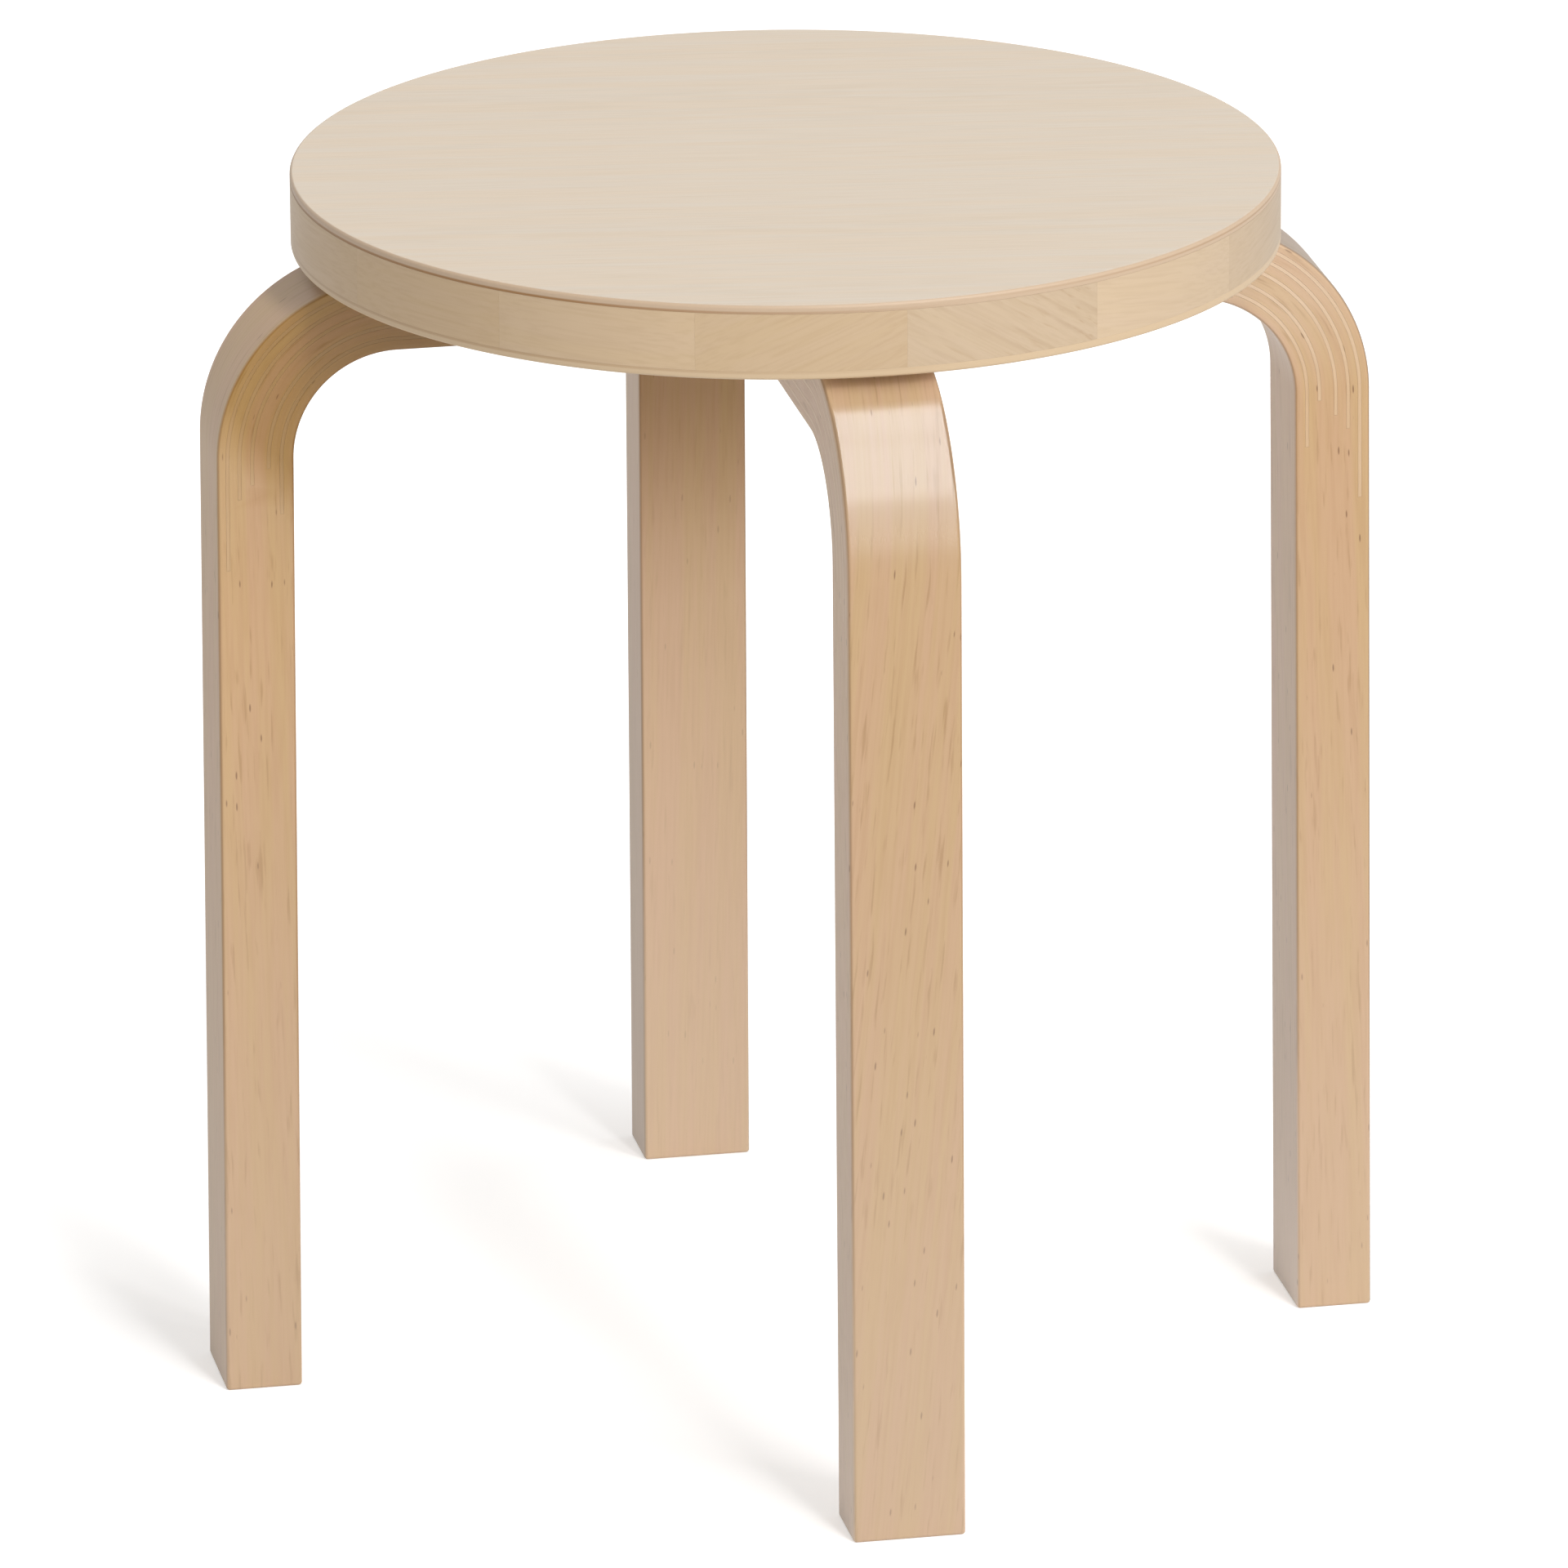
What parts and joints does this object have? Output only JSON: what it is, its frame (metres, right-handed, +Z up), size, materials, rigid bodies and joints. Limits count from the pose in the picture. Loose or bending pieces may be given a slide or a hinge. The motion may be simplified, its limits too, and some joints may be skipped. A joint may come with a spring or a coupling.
{
  "type": "stacking stool",
  "caption": "Stacking stool: a round veneered seat screwed onto bent, L-shaped solid wood legs that curve out past its rim and stand nearly upright.",
  "frame": {"origin": "on the floor, under the centre of the seat", "axes": "+Z up out of the seat, +X towards the right leg, -Y towards the front leg"},
  "size_m": [0.422, 0.422, 0.44],
  "materials": {
    "birch_face": "clear satin lacquer",
    "birch_rim": "clear satin lacquer",
    "birch_leg": "clear satin lacquer",
    "birch_veneer": "clear satin lacquer",
    "birch_core": "bare",
    "zinc_steel": "zinc plated"
  },
  "bodies": {
    "root": {"seat_top_sheet": "birch_face", "seat_bottom_sheet": "birch_face", "seat_core": "birch_core", "rim_block_1": "birch_rim", "rim_block_2": "birch_rim", "rim_block_3": "birch_rim", "rim_block_4": "birch_rim", "rim_block_5": "birch_rim", "rim_block_6": "birch_rim", "rim_block_7": "birch_rim", "rim_block_8": "birch_rim", "rim_block_9": "birch_rim", "rim_block_10": "birch_rim", "rim_block_11": "birch_rim", "rim_block_12": "birch_rim", "rim_block_13": "birch_rim", "rim_block_14": "birch_rim", "rim_block_15": "birch_rim", "leg_front": "birch_leg", "leg_front_veneer_1": "birch_veneer", "leg_front_veneer_2": "birch_veneer", "leg_front_veneer_3": "birch_veneer", "leg_front_veneer_4": "birch_veneer", "leg_front_veneer_5": "birch_veneer", "leg_front_screw_1": "zinc_steel", "leg_front_screw_2": "zinc_steel", "leg_front_screw_3": "zinc_steel", "leg_right": "birch_leg", "leg_right_veneer_1": "birch_veneer", "leg_right_veneer_2": "birch_veneer", "leg_right_veneer_3": "birch_veneer", "leg_right_veneer_4": "birch_veneer", "leg_right_veneer_5": "birch_veneer", "leg_right_screw_1": "zinc_steel", "leg_right_screw_2": "zinc_steel", "leg_right_screw_3": "zinc_steel", "leg_back": "birch_leg", "leg_back_veneer_1": "birch_veneer", "leg_back_veneer_2": "birch_veneer", "leg_back_veneer_3": "birch_veneer", "leg_back_veneer_4": "birch_veneer", "leg_back_veneer_5": "birch_veneer", "leg_back_screw_1": "zinc_steel", "leg_back_screw_2": "zinc_steel", "leg_back_screw_3": "zinc_steel", "leg_left": "birch_leg", "leg_left_veneer_1": "birch_veneer", "leg_left_veneer_2": "birch_veneer", "leg_left_veneer_3": "birch_veneer", "leg_left_veneer_4": "birch_veneer", "leg_left_veneer_5": "birch_veneer", "leg_left_screw_1": "zinc_steel", "leg_left_screw_2": "zinc_steel", "leg_left_screw_3": "zinc_steel"}
  },
  "joints": []
}
